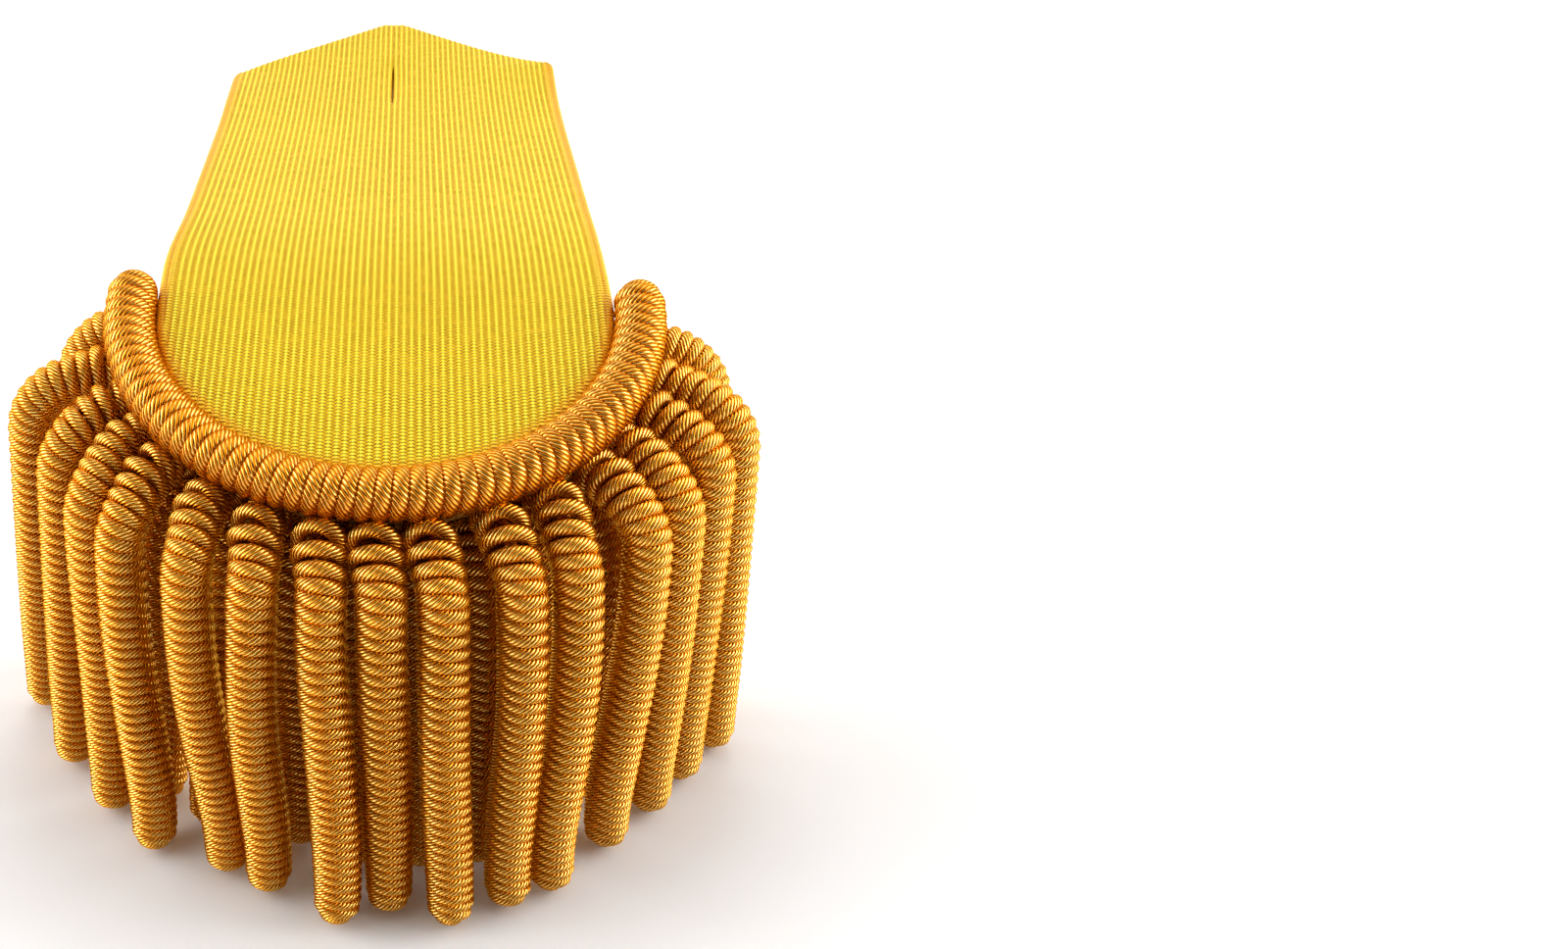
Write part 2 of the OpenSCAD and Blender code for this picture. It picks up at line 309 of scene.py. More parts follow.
# The pale colour on the lace ribs' crests is a painted highlight
LACE_HIGHLIGHT = (1.0, 0.9, 0.07, 1)
ROLLED_THREAD = (0.95, 0.48, 0.012, 1)
ROLLED_GAP = (0.5, 0.2, 0.003, 1)
BRASS_DULL = (0.62, 0.38, 0.13, 1)
BRASS_BRIGHT = (0.83, 0.6, 0.27, 1)
WEBBING_DEEP = (0.85, 0.43, 0.04, 1)
WEBBING_GOLD = (0.95, 0.54, 0.07, 1)
WEBBING_GAP = (0.5, 0.2, 0.012, 1)
FLOOR_WHITE = (0.93, 0.93, 0.93, 1)


def smooth(x):
    """A soft step from 0 to 1."""
    x = np.clip(x, 0, 1)
    return x * x * (3 - 2 * x)


def unit(vectors):
    """Each row scaled to length 1."""
    return vectors / np.linalg.norm(vectors, axis=-1, keepdims=True)


def blend_round(angle, front, side):
    """A value that goes from its front size to its side size round the row."""
    return front + (side - front) * math.sin(angle) ** 2


def new_piece(name, points, faces, map_places, material, slot, replaced=()):
    """A smooth mesh piece that rides on the body. Faces are quads as rows of point numbers, and
    map_places holds the place in the map of each corner of each face."""
    mesh = bpy.data.meshes.new(name)
    mesh.vertices.add(len(points))
    mesh.vertices.foreach_set("co", np.asarray(points, np.float32).ravel())
    mesh.loops.add(faces.size)
    mesh.loops.foreach_set("vertex_index", faces.astype(np.int32).ravel())
    mesh.polygons.add(len(faces))
    mesh.polygons.foreach_set("loop_start", np.arange(0, faces.size, 4, dtype=np.int32))
    mesh.polygons.foreach_set("loop_total", np.full(len(faces), 4, np.int32))
    mesh.polygons.foreach_set("use_smooth", np.ones(len(faces), bool))
    layer = mesh.uv_layers.new(name="lay")
    layer.uv.foreach_set("vector", np.asarray(map_places, np.float32).ravel())
    mesh.update(calc_edges=True)
    mesh.validate()
    mesh.materials.append(material)
    piece = bpy.data.objects.new(name, mesh)
    bpy.context.scene.collection.objects.link(piece)
    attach(piece, "root")
    if replaced:
        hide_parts(*replaced)


def join_parts(parts):
    """Several (points, faces, map places) as one."""
    start, points, faces, places = 0, [], [], []
    for part_points, part_faces, part_places in parts:
        points.append(part_points)
        faces.append(part_faces + start)
        places.append(part_places)
        start += len(part_points)
    return np.concatenate(points), np.concatenate(faces), np.concatenate(places)


def grid_faces(rows, columns, closed=False):
    """Quads between the rows and columns of a grid of points. A closed grid joins its last
    column to its first."""
    numbers = np.arange(rows * columns).reshape(rows, columns)
    if closed:
        numbers = np.concatenate([numbers, numbers[:, :1]], axis=1)
    return np.stack(
        [numbers[:-1, :-1], numbers[:-1, 1:], numbers[1:, 1:], numbers[1:, :-1]], axis=-1
    ).reshape(-1, 4)


def grid_places(u, v):
    """The map places of those quads, from the grid's own u down its rows and v along its
    columns, where v has one value more than a closed grid has columns."""
    u, v = np.broadcast_arrays(u, v)
    places = np.stack([u, v], axis=-1)
    return np.stack(
        [places[:-1, :-1], places[:-1, 1:], places[1:, 1:], places[1:, :-1]], axis=2
    ).reshape(-1, 4, 2)


class CentreLine:
    """A smooth line through space, read by its length, with the direction to its outer side."""

    def __init__(self, points, side):
        steps = np.linalg.norm(np.diff(points, axis=0), axis=1)
        self.at = np.concatenate([[0], np.cumsum(steps)])
        self.length = self.at[-1]
        self.points = points
        self.tangents = unit(np.gradient(points, self.at, axis=0))
        self.side = side
        bend = np.linalg.norm(np.gradient(self.tangents, self.at, axis=0), axis=1)
        even = np.linspace(0, self.length, BEND_SAMPLES)
        window = np.ones(BEND_WINDOW) / BEND_WINDOW
        padded = np.pad(np.interp(even, self.at, bend), BEND_WINDOW // 2, mode="edge")
        self.bend = np.interp(self.at, even, np.convolve(padded, window, mode="valid"))

    def read(self, length):
        """Places, directions, outer directions and side directions at these lengths. Past
        either end the line goes straight on."""
        inside = np.clip(length, 0, self.length)
        place = np.stack([np.interp(inside, self.at, c) for c in self.points.T], axis=-1)
        along = np.stack([np.interp(inside, self.at, c) for c in self.tangents.T], axis=-1)
        side = np.stack([np.interp(inside, self.at, c) for c in self.side.T], axis=-1)
        along = unit(along)
        place = place + along * (length - inside)[:, None]
        side = unit(side - along * np.sum(along * side, axis=1, keepdims=True))
        return place, along, np.cross(side, along), side


def wind_purl(line, radius_at, pitch_at, start_dome, press, widest=PURL_RADIUS, first_turn=0.0):
    """A purl wound round a line in a left-handed helix, as (points, faces, map places). radius_at
    gives the coil's outer radius at a length, and pitch_at gives the step from turn to turn on
    the outside of a bend. The far end closes in a dome whose centre is the line's end, and the
    near end too if start_dome is set. Press is half the purl's width along the coil, as a share
    of the step, where the turns press together, and widest is its half width elsewhere."""
    reach = radius_at(np.array([line.length]))[0] - PURL_RADIUS
    dome = reach * DOME_SWEEP
    low = -dome if start_dome else 0.0
    sample = np.linspace(low, line.length + dome, COIL_SAMPLES)
    between = np.clip((sample[1:] + sample[:-1]) / 2, 0, line.length)
    spread = 1 + radius_at(between) * np.interp(between, line.at, line.bend)
    turns = np.concatenate([[0], np.cumsum(np.diff(sample) * spread / pitch_at(between))])
    count = int(turns[-1] * TURN_STEPS)
    at = np.interp(np.arange(count + 1) / TURN_STEPS, turns, sample)
    angle = (np.arange(count + 1) / TURN_STEPS + first_turn) * FULL_TURN

    inside = np.clip(at, 0, line.length)
    over = (at - inside) / reach
    coil = (radius_at(inside) - PURL_RADIUS) * np.cos(over)
    length = inside + reach * np.sin(over)
    place, along, outer, side = line.read(length)
    round_it = outer * np.cos(angle)[:, None] - side * np.sin(angle)[:, None]
    middle = place + round_it * coil[:, None]

    travel = unit(np.gradient(middle, axis=0))
    away = round_it * np.cos(over)[:, None] + along * np.sin(over)[:, None]
    away = unit(away - travel * np.sum(away * travel, axis=1, keepdims=True))
    up = np.cross(travel, away)
    half_height = np.minimum(widest, pitch_at(inside) * press)
    half_depth = np.full(count + 1, PURL_RADIUS)

    # The two cut ends of the purl are rounded
    cap = PURL_RADIUS * np.sin(CUT_RINGS)
    shrink = np.cos(CUT_RINGS)
    cuts = len(CUT_RINGS)
    middle = np.concatenate([middle[:1] - travel[:1] * cap[:, None], middle,
                             middle[-1:] + travel[-1:] * cap[::-1, None]])
    away = np.concatenate([away[:1].repeat(cuts, 0), away, away[-1:].repeat(cuts, 0)])
    up = np.concatenate([up[:1].repeat(cuts, 0), up, up[-1:].repeat(cuts, 0)])
    half_height = np.concatenate([half_height[0] * shrink, half_height,
                                  half_height[-1] * shrink[::-1]])
    half_depth = np.concatenate([half_depth[0] * shrink, half_depth,
                                 half_depth[-1] * shrink[::-1]])

    section = (np.arange(SECTION_STEPS) / SECTION_STEPS - 0.5) * FULL_TURN
    points = (middle[:, None]
              + away[:, None] * (half_depth[:, None] * np.cos(section))[..., None]
              + up[:, None] * (half_height[:, None] * np.sin(section))[..., None])
    rings = len(middle)
    faces = grid_faces(rings, SECTION_STEPS, closed=True)
    turn_share = (np.arange(rings) - cuts) / TURN_STEPS
    across = np.arange(SECTION_STEPS + 1) / SECTION_STEPS
    places = grid_places(turn_share[:, None], across[None, :])
    # Each turn of the coil takes the whole width of the map
    first = np.floor(places[:, 0, 0] + 1e-6)
    places[..., 0] -= first[:, None]
    return points.reshape(-1, 3), faces[:, ::-1], places[:, ::-1]


def plan_direction(degrees):
    """The direction in plan of one that is measured in the sloping plane, 0 at the front."""
    angle = math.radians(degrees)
    return math.atan2(math.sin(angle), math.cos(angle) * math.cos(FRONT_SLOPE))


def hanging_line(hang, root, level, step_in):
    """The centre line of a bullion: out from its root, round the bend and down to its tip, and
    the length at which it comes out from under the rim."""
    angle = math.radians(hang.top)
    slope = math.asin(math.cos(angle) * math.sin(FRONT_SLOPE))
    dip = math.asin(math.cos(angle) * math.sin(FRONT_DIP))
    lean = blend_round(angle, FRONT_LEAN, SIDE_LEAN)
    last = math.pi / 2 - lean
    bend = blend_round(angle, FRONT_BEND, SIDE_BEND)
    rim_face = RIM_RADIUS + RIM_DIAMETER / 2 - step_in
    turned = rim_face + blend_round(angle, FRONT_REACH, SIDE_REACH) + hang.reach * MM
    root_radius = root * math.cos(slope)
    root_height = CENTRE_HEIGHT + level * math.cos(FRONT_SLOPE) - root * math.sin(slope)
    run = turned - bend * (math.sin(last) - math.sin(dip)) - root_radius
    bend_height = root_height - run * math.tan(dip)
    end_height = bend_height - bend * (math.cos(dip) - math.cos(last))
    drop = end_height - BULLION_RADIUS

    share = np.linspace(RUN_START, 1, RUN_STEPS, endpoint=False)
    turn = np.linspace(dip, last, BEND_STEPS, endpoint=False)
    fall = np.linspace(0, 1, FALL_STEPS)
    radius = np.concatenate([
        root_radius + run * share,
        root_radius + run + bend * (np.sin(turn) - math.sin(dip)),
        turned + (drop * math.tan(lean) + hang.out * MM) * fall,
    ])
    height = np.concatenate([
        root_height - run * math.tan(dip) * share,
        bend_height - bend * (math.cos(dip) - np.cos(turn)),
        end_height - drop * fall,
    ])
    down = np.concatenate([np.zeros(len(share) + len(turn)), fall])
    neck_end = rim_face - RIM_DIAMETER / 2 + NECK_PAST
    # The open turns rise a little just outside the rim
    rise = NECK_RISE * hang.loose
    height = height + rise * np.exp(-((radius - neck_end - RISE_PLACE) / RISE_WIDTH) ** 2)
    neck, top, tip = (plan_direction(a) for a in (hang.neck, hang.top, hang.tip))
    azimuth = neck + (top - neck) * smooth((radius - neck_end) / (turned - neck_end))
    azimuth = np.where(down > 0, top + (tip - top) * smooth(down), azimuth)
    azimuth = azimuth + hang.bow * MM * np.sin(math.pi * down) ** 2 / radius
    shift = CENTRE_Y - level * math.sin(FRONT_SLOPE)
    points = np.stack(
        [radius * np.sin(azimuth), shift - radius * np.cos(azimuth), height], axis=-1
    )
    side = np.stack([np.cos(azimuth), np.sin(azimuth), np.zeros_like(azimuth)], axis=-1)
    line = CentreLine(points, side)
    return line, np.interp(neck_end, radius[:len(share)], line.at[:len(share)])


def neck_core(line, start):
    """The cord inside a bullion's open turns that it is sewn on by, as (points, faces, map
    places)."""
    length = np.linspace(start - CORE_BEFORE, start + CORE_AFTER, CORE_RINGS)
    place, _, outer, side = line.read(length)
    ends = np.clip(np.minimum(length - length[0], length[-1] - length) / CORE_ROUNDING, 0, 1)
    radius = CORE_RADIUS * np.sqrt(1 - CORE_TAPER * (1 - ends) ** 2)
    around = np.arange(CORE_SIDES) / CORE_SIDES * FULL_TURN
    points = (place[:, None]
              + outer[:, None] * (radius[:, None] * np.cos(around))[..., None]
              + side[:, None] * (radius[:, None] * np.sin(around))[..., None])
    share = np.linspace(0, 1, CORE_RINGS)
    across = np.linspace(0, CORE_MAP_WIDTH, CORE_SIDES + 1)
    places = grid_places(share[:, None], across[None, :])
    return points.reshape(-1, 3), grid_faces(CORE_RINGS, CORE_SIDES, closed=True), places


def bullion(hang, root, level, step_in):
    """One bullion: its neck is pinched under the rim, its first turns are open, and its turns
    close up towards the tip."""
    line, start = hanging_line(hang, root, level, step_in)
    closing = blend_round(math.radians(hang.top), FRONT_CLOSING, SIDE_CLOSING) * MM

    def radius_at(length):
        past = length - start
        neck = smooth((past + NECK_BEFORE) / NECK_LENGTH)
        swell = SWELL * np.exp(-((past - SWELL_PLACE) / SWELL_WIDTH) ** 2)
        taper = TIP_TAPER * smooth((length / line.length - TAPER_START) / TAPER_SHARE)
        widened = (BULLION_RADIUS - NECK_RADIUS) * neck
        return NECK_RADIUS + widened + swell * hang.loose - taper

    def pitch_at(length):
        past_open = np.clip(length - start - OPEN_LENGTH, 0, 1)
        opened = OPEN_STEP * hang.loose * np.exp(-past_open / closing)
        closed = LOW_CLOSING * smooth((length / line.length - CLOSING_START) / CLOSING_SHARE)
        return (TOP_STEP + opened - closed) * MM

    coil = wind_purl(line, radius_at, pitch_at, False, BULLION_PRESS,
                     first_turn=hang.top / START_SPAN)
    return join_parts([coil, neck_core(line, start)])


def build_fringe(material):
    """Both rows of bullions, in pieces of a few neighbours each."""
    outer = [bullion(h, OUTER_ROOT, OUTER_LEVEL, 0) for h in OUTER_ROW]
    inner = [bullion(h, INNER_ROOT, INNER_LEVEL, ROW_STEP) for h in INNER_ROW]
    for name, parts, node in [
        ("bullions_outer_left", outer[:6], "fringe_outer"),
        ("bullions_outer_front", outer[6:12], "fringe_outer"),
        ("bullions_outer_right", outer[12:], "fringe_outer"),
        ("bullions_inner_left", inner[:7], "fringe_inner"),
        ("bullions_inner_right", inner[7:], "fringe_inner"),
    ]:
        new_piece(name, *join_parts(parts), material, "bullion", [node])


def slope_place(radius, angle, level):
    """A place in the sloping plane of the strap's rounded end. Angle 0 is the front."""
    x = radius * np.sin(angle)
    y = -radius * np.cos(angle)
    c, s = math.cos(FRONT_SLOPE), math.sin(FRONT_SLOPE)
    return np.stack([x, CENTRE_Y + y * c - level * s, CENTRE_HEIGHT + y * s + level * c], axis=-1)


def slope_normal(count):
    """The sloping plane's upward direction, once for each point."""
    return np.tile([0, -math.sin(FRONT_SLOPE), math.cos(FRONT_SLOPE)], (count, 1))


def build_rim(material):
    """The thick coil round the rounded end, with a short leg and a closed end each side."""
    leg = np.linspace(1, 0, LEG_STEPS, endpoint=False)
    sweep = np.linspace(-math.pi / 2, math.pi / 2, ARC_STEPS)
    back = np.array([0, math.cos(FRONT_SLOPE), math.sin(FRONT_SLOPE)])
    arc = slope_place(RIM_RADIUS, sweep, 0)
    points = np.concatenate([
        arc[:1] + back * LEFT_LEG * leg[:, None],
        arc,
        arc[-1:] + back * RIGHT_LEG * leg[::-1, None],
    ])
    line = CentreLine(points, slope_normal(len(points)))

    def radius_at(length):
        return np.full_like(length, RIM_DIAMETER / 2 + RIM_OVERSIZE)

    def pitch_at(length):
        return np.full_like(length, RIM_STEP)

    coil = wind_purl(line, radius_at, pitch_at, True, RIM_PRESS, widest=RIM_PURL_HALF)
    new_piece("rim_bullion", *coil, material, "bullion", ["rim"])


def strap_slope(u):
    """The angle at which the strap's top climbs, at a distance u along it from the centre of
    the rounded end."""
    return np.select(
        [u < 0, u < BEND_LENGTH, u < RISE_START],
        [FRONT_SLOPE, FRONT_SLOPE * (1 - u / BEND_LENGTH), 0],
        FAR_RISE * (u - RISE_START) / (STRAP_LENGTH - RISE_START),
    )


def strap_point(x, u, depth):
    """A point of the strap at x across, u along and a depth below its top."""
    s = strap_slope(u)
    y = np.select(
        [u < 0, u < BEND_LENGTH, u < RISE_START],
        [u * np.cos(s), FLAT_Y - BEND_RADIUS * np.sin(s), FLAT_Y + u - BEND_LENGTH],
        FLAT_Y + FLAT_LENGTH + RISE_RADIUS * np.sin(s),
    )
    z = np.select(
        [u < 0, u < BEND_LENGTH, u < RISE_START],
        [CENTRE_HEIGHT + u * np.sin(s), CREST_HEIGHT - BEND_RADIUS * (1 - np.cos(s)),
         CREST_HEIGHT],
        CREST_HEIGHT + RISE_RADIUS * (1 - np.cos(s)),
    )
    across = np.abs(x) / (FAR_WIDTH / 2)
    along = np.clip(1 - np.abs(u - BODY_LENGTH) / LIFT_LENGTH, 0, None)
    curl = np.where(x > 0, CORNER_LIFT, -CORNER_DROP) * across ** 3 * along ** 1.5
    return np.stack([x, CENTRE_Y + y + depth * np.sin(s), z - depth * np.cos(s) + curl], axis=-1)


def build_strap(material):
    """The laced board: a ribbed top and underside, rolled edges, and a buttonhole through it."""
    half = np.arange(RIBS // 2 * RIB_STEPS + 1) / RIB_STEPS
    rib = np.concatenate([-half[::-1], half])
    columns = len(rib)
    middle = columns // 2
    slit_middle = BODY_LENGTH - SLIT_BACK
    rows = STRAP_ROWS
    t = np.linspace(0, 1, rows)[:, None]
    share = (rib / (RIBS // 2))[None, :]

    front = -(FLAT_HALF + SPREAD) * np.sqrt(np.clip(1 - share ** 2, 0, None))
    far_half = FAR_WIDTH / 2 - EDGE_RADIUS
    tip_half = TIP_WIDTH / 2
    point = np.clip((far_half - np.abs(share) * far_half) / (far_half - tip_half), 0, 1)
    corner = BODY_LENGTH - np.where(share < 0, LEFT_CORNER_BACK, RIGHT_CORNER_BACK)
    back = corner + (STRAP_LENGTH - EDGE_RADIUS - corner) * point
    u = front + (back - front) * t
    narrowing = np.clip(u / BODY_LENGTH, 0, 1)
    spread = SPREAD * (1 - smooth(u / SPREAD_LENGTH))
    x = share * (FLAT_HALF + spread + (far_half - FLAT_HALF) * narrowing)

    # The slit opens between the two middle columns and pushes its neighbours aside
    in_slit = np.clip(1 - ((u - slit_middle) / (SLIT_LENGTH / 2)) ** 2, 0, None)
    side = np.where(np.arange(columns) < middle, -1.0, 1.0)[None, :]
    gap = SLIT_CLOSED + SLIT_GAP * np.sqrt(in_slit)
    flare_along = np.exp(-((u - FLARE_PLACE) / FLARE_WIDTH) ** 2)
    flare = -FLARE * flare_along * np.clip(-share, 0, 1) ** 4
    x = x + side * gap * np.exp(-np.abs(x) / SLIT_PUSH) + flare

    ribs = RIB_HEIGHT * np.abs(np.sin(math.pi * rib))[None, :] ** RIB_FULLNESS
    near_slit = np.exp(-((u - slit_middle) / (SLIT_LENGTH * DIMPLE_REACH)) ** 4)
    dimple = DIMPLE_DEPTH * near_slit * np.exp(-(np.abs(x) / DIMPLE_WIDTH) ** 1.5)
    top = strap_point(x, u, dimple + RIB_HEIGHT - ribs)
    slant = SLIT_SLANT * np.sqrt(in_slit) * np.exp(-(x / SLANT_WIDTH) ** 2)
    under = strap_point(x + slant, u, STRAP_THICKNESS - RIB_HEIGHT + ribs)

    lace_u = np.broadcast_to((rib[None, :] * RIB_PITCH + LACE_HALF) / (2 * LACE_HALF), x.shape)
    lace_v = (u - LACE_FRONT) / LACE_SPAN
    faces = grid_faces(rows, columns)
    places = grid_places(lace_u, lace_v)
    slit_faces = np.zeros((rows - 1, columns - 1), bool)
    open_rows = (in_slit[:-1, middle] > 0) & (in_slit[1:, middle] > 0)
    slit_faces[open_rows, middle - 1] = True
    keep = ~slit_faces.ravel()
    points, quads, corner_places = join_parts([
        (top.reshape(-1, 3), faces[keep][:, ::-1], places[keep][:, ::-1]),
        (under.reshape(-1, 3), faces[keep], places[keep]),
    ])
    number = np.arange(rows * columns).reshape(rows, columns)
    walls = slit_walls(number, open_rows)
    flat_places = np.concatenate([np.stack([lace_u, lace_v], axis=-1).reshape(-1, 2)] * 2)
    points, quads, corner_places = join_parts([
        (points, np.concatenate([quads, walls]),
         np.concatenate([corner_places, flat_places[walls]])),
        rolled_edge(x, u, ribs, number, flat_places),
    ])
    new_piece("strap_lace", points, quads, corner_places, material, "lace", ["strap"])


def slit_walls(number, open_rows):
    """The walls of the slit, which join the top to the underside, as rows of point numbers."""
    total = number.size
    middle = number.shape[1] // 2
    r = np.nonzero(open_rows)[0]
    left, right = number[:, middle - 1], number[:, middle]
    return np.concatenate([
        np.stack([left[r], left[r + 1], left[r + 1] + total, left[r] + total], axis=-1),
        np.stack([right[r + 1], right[r], right[r] + total, right[r + 1] + total], axis=-1),
        np.array([
            [right[r[0]], left[r[0]], left[r[0]] + total, right[r[0]] + total],
            [left[r[-1] + 1], right[r[-1] + 1], right[r[-1] + 1] + total,
             left[r[-1] + 1] + total],
        ]),
    ])


def rolled_edge(x, u, ribs, number, flat_places):
    """The lace's rolled edge round the whole outline, from the top over to the underside, as
    (points, faces, map places)."""
    loop = np.concatenate([
        number[:, 0], number[-1, 1:], number[-2::-1, -1], number[0, -2:0:-1]
    ])
    edge_x, edge_u = x.ravel()[loop], u.ravel()[loop]
    outline = np.stack([edge_x, edge_u], axis=-1)
    ahead = np.roll(outline, -1, 0) - outline
    behind = outline - np.roll(outline, 1, 0)
    out = unit(unit(np.stack([-ahead[:, 1], ahead[:, 0]], -1))
               + unit(np.stack([-behind[:, 1], behind[:, 0]], -1)))
    top_ring = np.linspace(0, math.pi / 2, TOP_RINGS)
    low_ring = np.linspace(math.pi / 2, math.pi, LOW_RINGS)
    ring_angle = np.concatenate([top_ring, low_ring])
    ring_depth = np.concatenate([
        EDGE_RADIUS * (1 - np.cos(top_ring)),
        STRAP_THICKNESS - EDGE_RADIUS - EDGE_RADIUS * np.cos(low_ring),
    ])
    ring_out = EDGE_RADIUS * np.sin(ring_angle)
    ring_arc = np.concatenate([[0], np.cumsum(np.hypot(np.diff(ring_out), np.diff(ring_depth)))])
    base = RIB_HEIGHT - ribs.repeat(len(number), 0).ravel()[loop]
    rings = []
    for out_by, depth, angle in zip(ring_out, ring_depth, ring_angle):
        fade = base * math.cos(angle)
        rings.append(strap_point(edge_x + out[:, 0] * out_by, edge_u + out[:, 1] * out_by,
                                 depth + fade))
    edge_points = np.stack(rings, axis=1).reshape(-1, 3)
    count, ring_count = len(loop), len(ring_out)
    edge = np.arange(count * ring_count).reshape(count, ring_count)
    edge = np.concatenate([edge, edge[:1]], axis=0)
    edge_faces = np.stack(
        [edge[:-1, :-1], edge[1:, :-1], edge[1:, 1:], edge[:-1, 1:]], axis=-1
    ).reshape(-1, 4)[:, ::-1]
    loop_places = flat_places[loop]
    map_scale = np.array([1 / (2 * LACE_HALF), 1 / LACE_SPAN])
    ring_places = loop_places[:, None] + out[:, None] * ring_arc[None, :, None] * map_scale
    return edge_points, edge_faces, ring_places.reshape(-1, 2)[edge_faces]


def heading(name, root, top_level, low_level, material, node):
    """A folded webbing strip that a row of bullions is sewn to, with soft corners."""
    outer = root + BULLION_RADIUS
    inner = outer - HEAD_WIDTH
    corner = HEAD_CORNER
    turn = np.radians(np.arange(0, 91, 30))
    section = np.concatenate([
        np.stack([outer - corner + corner * np.sin(turn), top_level - corner
                  + corner * np.cos(turn)], -1),
        np.stack([outer - corner + corner * np.cos(turn), low_level + corner
                  - corner * np.sin(turn)], -1),
        np.stack([inner + corner - corner * np.sin(turn), low_level + corner
                  - corner * np.cos(turn)], -1),
        np.stack([inner + corner - corner * np.cos(turn), top_level - corner
                  + corner * np.sin(turn)], -1),
    ])
    angles = np.radians(np.linspace(-HALF_SWEEP - HEAD_PAST_LEFT, HALF_SWEEP + HEAD_PAST_RIGHT,
                                    HEAD_STEPS))
    shrink = np.ones(HEAD_STEPS)
    shrink[[0, -1]] = HEAD_END
    shrink[[1, -2]] = HEAD_NEAR_END
    middle = section.mean(0)
    ring = middle + (section - middle) * shrink[:, None, None]
    points = slope_place(ring[..., 0], angles[:, None], ring[..., 1])
    count = len(section)
    around = np.concatenate([[0], np.cumsum(np.linalg.norm(
        np.diff(np.concatenate([section, section[:1]]), axis=0), axis=1))])
    faces = grid_faces(HEAD_STEPS, count, closed=True)
    places = grid_places((angles[:, None] * root + WEBBING_HALF) / WEBBING_SPAN,
                         around[None, :] / WEBBING_ROUND)
    new_piece(name, points.reshape(-1, 3), faces, places, material, "lace", [node])


def new_group(name, inputs, outputs):
    """A shader node group with named sockets, each given as (name, type)."""
    group = bpy.data.node_groups.new(name, "ShaderNodeTree")
    for socket, kind in inputs:
        group.interface.new_socket(name=socket, in_out="INPUT", socket_type=kind)
    for socket, kind in outputs:
        group.interface.new_socket(name=socket, in_out="OUTPUT", socket_type=kind)
    return group, group.nodes.new("NodeGroupInput"), group.nodes.new("NodeGroupOutput")


class Wiring:
    """Short ways to add and link nodes in one tree."""

    def __init__(self, tree):
        self.tree = tree

    def node(self, kind, **settings):
        made = self.tree.nodes.new(kind)
        for key, value in settings.items():
            setattr(made, key, value)
        return made

    def link(self, source, target):
        self.tree.links.new(source, target)

    def feed(self, socket, value):
        """Links another socket to this one, or gives it a plain value."""
        if isinstance(value, bpy.types.NodeSocket):
            self.link(value, socket)
        else:
            socket.default_value = value

    def math(self, operation, a, b=None, c=None, clamp=False):
        """A Math node of up to three numbers or sockets."""
        made = self.node("ShaderNodeMath", operation=operation, use_clamp=clamp)
        for socket, value in zip(made.inputs, (a, b, c)):
            if value is not None:
                self.feed(socket, value)
        return made.outputs[0]

    def mix(self, factor, a, b):
        """A colour between two colours."""
        made = self.node("ShaderNodeMix", data_type="RGBA")
        for number, value in ((0, factor), (6, a), (7, b)):
            self.feed(made.inputs[number], value)
        return made.outputs[2]

    def noise(self, vector, scale, detail=2.0):
        made = self.node("ShaderNodeTexNoise")
        made.inputs["Scale"].default_value = scale
        made.inputs["Detail"].default_value = detail
        self.link(vector, made.inputs["Vector"])
        return made.outputs["Fac"]

    def bump(self, height, shader, strength, distance):
        """Relief on a shader."""
        made = self.node("ShaderNodeBump")
        made.inputs["Strength"].default_value = strength
        made.inputs["Distance"].default_value = distance
        self.link(height, made.inputs["Height"])
        self.link(made.outputs[0], shader.inputs["Normal"])

    def fade(self, value, low, high, start=0.0, end=1.0, kind="SMOOTHSTEP"):
        """A value that goes from start to end while its source goes from low to high."""
        made = self.node("ShaderNodeMapRange", interpolation_type=kind)
        for key, given in (("Value", value), ("From Min", low), ("From Max", high),
                           ("To Min", start), ("To Max", end)):
            self.feed(made.inputs[key], given)
        return made.outputs["Result"]


